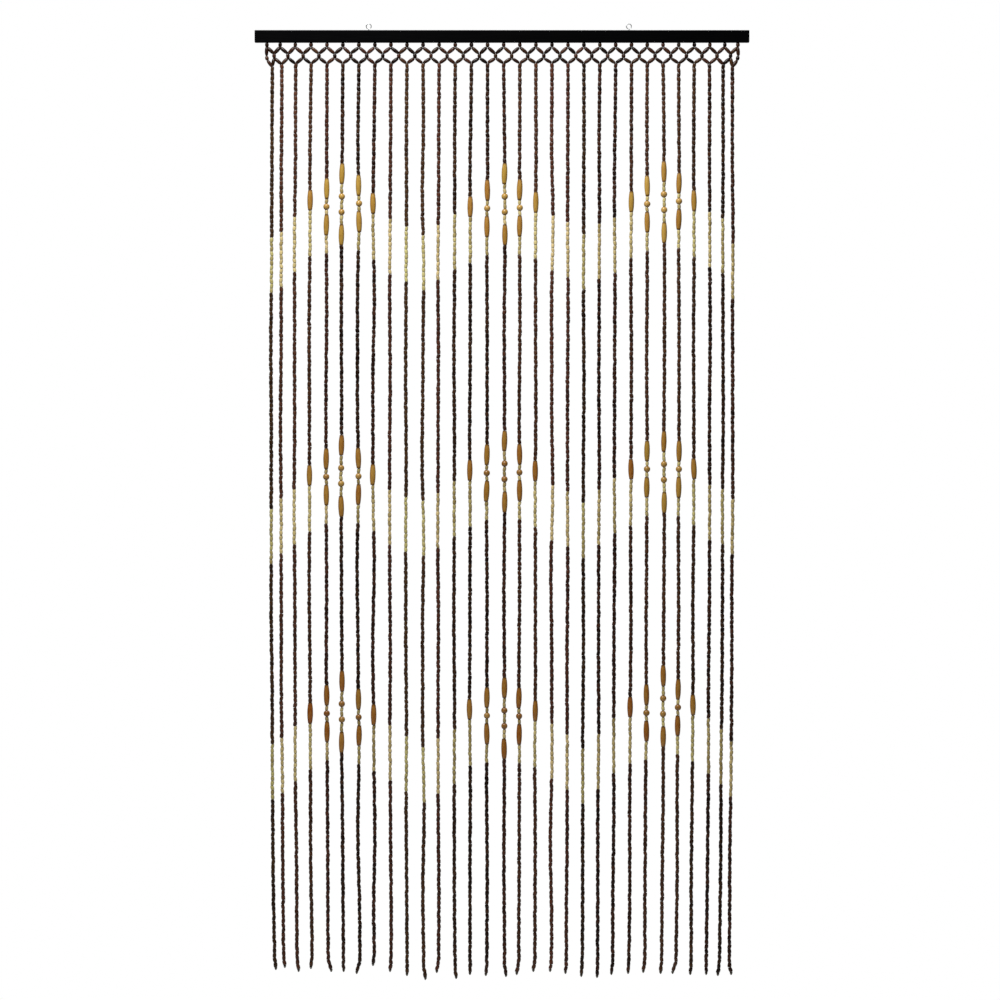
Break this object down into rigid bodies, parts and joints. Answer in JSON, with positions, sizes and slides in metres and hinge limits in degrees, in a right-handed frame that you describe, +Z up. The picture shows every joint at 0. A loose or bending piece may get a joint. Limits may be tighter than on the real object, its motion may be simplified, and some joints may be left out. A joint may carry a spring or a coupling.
{
  "type": "bead curtain on a head rail",
  "caption": "Door curtain of wooden bead strings with rows of pale and honey beads among dark ones, hung from a net of beads under a black wooden head rail with wire eyes.",
  "frame": {"origin": "centre of the head rail's back face, which lies on the wall", "axes": "+X along the rail to the right as seen from the front, +Y out of the rail's back into the wall, +Z up; the strings hang towards -Z"},
  "size_m": [0.9, 0.012, 1.7404],
  "materials": {
    "rail_paint": "black satin paint on a planed batten",
    "eye_wire": "bright zinc-plated wire",
    "beads_dark": "dark reddish brown stain and lacquer",
    "beads_natural": "pale natural wood, lacquered",
    "beads_honey": "honey stain and lacquer with grain showing",
    "thread": "twisted thread"
  },
  "bodies": {
    "root": {"head_rail": "rail_paint", "eye_left": "eye_wire", "eye_right": "eye_wire", "bead_strings": "beads_dark"}
  },
  "joints": []
}
